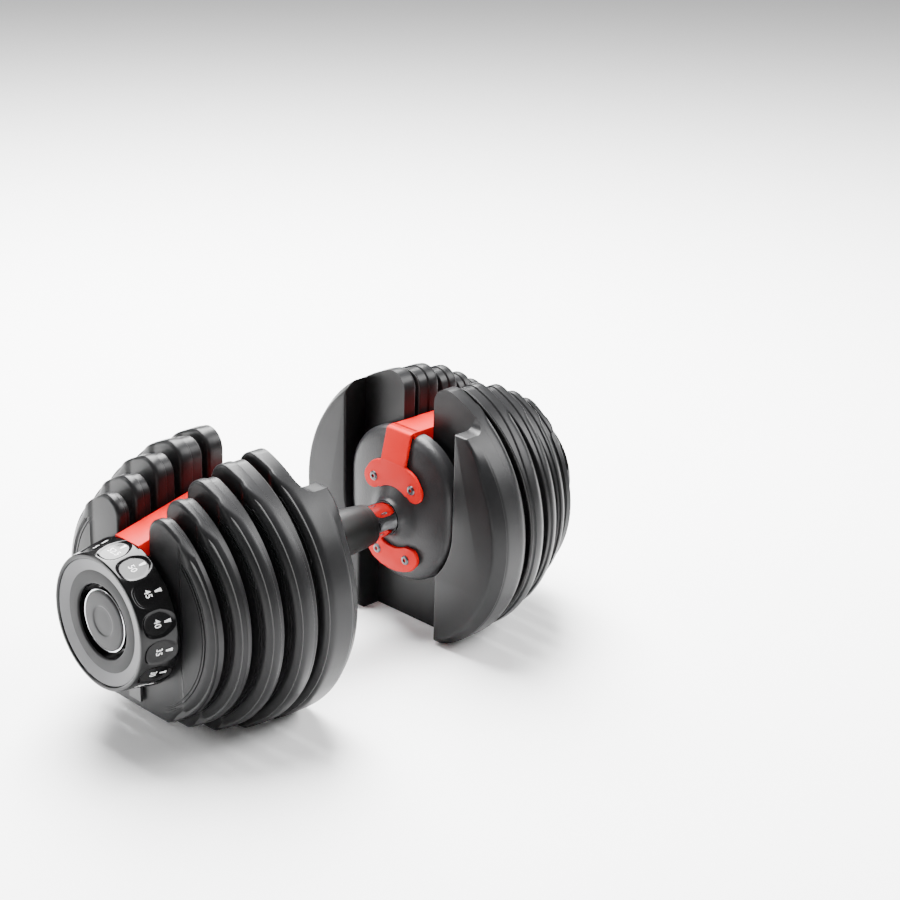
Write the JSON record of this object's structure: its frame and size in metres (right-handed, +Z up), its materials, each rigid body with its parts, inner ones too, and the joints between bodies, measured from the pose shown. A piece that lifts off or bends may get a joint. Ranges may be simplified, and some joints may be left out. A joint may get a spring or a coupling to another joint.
{
  "type": "adjustable dumbbell",
  "caption": "Adjustable dumbbell: rubber grip between heads of nested slotted plates, a numbered selector dial on each end and a spring-loaded lock pin behind it.",
  "frame": {"origin": "centre of the footprint, on the floor under the middle of the grip", "axes": "+X along the handle towards the right head, +Z up, +Y across"},
  "size_m": [0.4, 0.203, 0.1875],
  "materials": {
    "rod_steel": "zinc-plated steel",
    "chrome_tube": "bright chrome",
    "grip_rubber": "fine matte black rubber",
    "end_plate_plastic": "fine-grained dark grey moulding",
    "red_steel": "satin red paint",
    "screw_steel": "blackened steel",
    "hub_steel": "turned steel",
    "pin_plastic": "black moulding",
    "dial_plastic": "satin black with white printed numbers",
    "trim_grey": "satin silver-grey",
    "cap_grey": "satin grey",
    "plate_skin": "fine-grained charcoal moulding with a soft sheen",
    "core_steel": "plain dark steel, hidden in its skin",
    "disc_plastic": "dark glass-filled moulding"
  },
  "bodies": {
    "handle": {"centre_rod": "rod_steel", "handle_tube": "chrome_tube", "grip": "grip_rubber", "left_end_plate": "end_plate_plastic", "left_bridge": "red_steel", "left_lower_bracket": "red_steel", "left_bracket_screws": "screw_steel", "left_rod_nut": "rod_steel", "left_rod_washer": "rod_steel", "left_plate_1": "plate_skin", "left_plate_2": "plate_skin", "left_plate_3": "plate_skin", "left_plate_4": "plate_skin", "left_plate_5": "plate_skin", "left_steel_core_1": "core_steel", "left_steel_core_2": "core_steel", "left_steel_core_3": "core_steel", "left_steel_core_4": "core_steel", "left_steel_core_5": "core_steel", "right_end_plate": "end_plate_plastic", "right_bridge": "red_steel", "right_lower_bracket": "red_steel", "right_bracket_screws": "screw_steel", "right_rod_nut": "rod_steel", "right_rod_washer": "rod_steel", "right_plate_1": "plate_skin", "right_plate_2": "plate_skin", "right_plate_3": "plate_skin", "right_plate_4": "plate_skin", "right_plate_5": "plate_skin", "right_steel_core_1": "core_steel", "right_steel_core_2": "core_steel", "right_steel_core_3": "core_steel", "right_steel_core_4": "core_steel", "right_steel_core_5": "core_steel"},
    "left_dial": {"left_selector_hub": "hub_steel", "left_selector_disc_1": "disc_plastic", "left_selector_disc_2": "disc_plastic", "left_selector_disc_3": "disc_plastic", "left_selector_disc_4": "disc_plastic", "left_selector_disc_5": "disc_plastic", "left_lock_ring": "hub_steel", "left_dial": "dial_plastic", "left_dial_trim_ring": "trim_grey", "left_hub_cap": "cap_grey"},
    "right_dial": {"right_selector_hub": "hub_steel", "right_selector_disc_1": "disc_plastic", "right_selector_disc_2": "disc_plastic", "right_selector_disc_3": "disc_plastic", "right_selector_disc_4": "disc_plastic", "right_selector_disc_5": "disc_plastic", "right_lock_ring": "hub_steel", "right_dial": "dial_plastic", "right_dial_trim_ring": "trim_grey", "right_hub_cap": "cap_grey"},
    "left_lock_pin": {"left_lock_pin": "pin_plastic", "left_lock_spring": "rod_steel"},
    "right_lock_pin": {"right_lock_pin": "pin_plastic", "right_lock_spring": "rod_steel"}
  },
  "joints": [
    {"name": "left_dial_turn", "type": "hinge", "parent": "handle", "child": "left_dial", "pos_m": [-0.187, 0, 0.0905], "axis": [-1, 0, 0], "continuous": true},
    {"name": "right_dial_turn", "type": "hinge", "parent": "handle", "child": "right_dial", "pos_m": [0.187, 0, 0.0905], "axis": [1, 0, 0], "continuous": true},
    {"name": "left_lock_release", "type": "slide", "parent": "handle", "child": "left_lock_pin", "axis": [0, 0, 1], "range_m": [0, 0.004], "stiffness_N_per_m": 300, "springref_m": -0.004, "deforming": ["left_lock_spring"]},
    {"name": "right_lock_release", "type": "slide", "parent": "handle", "child": "right_lock_pin", "axis": [0, 0, 1], "range_m": [0, 0.004], "stiffness_N_per_m": 300, "springref_m": -0.004, "deforming": ["right_lock_spring"]}
  ]
}
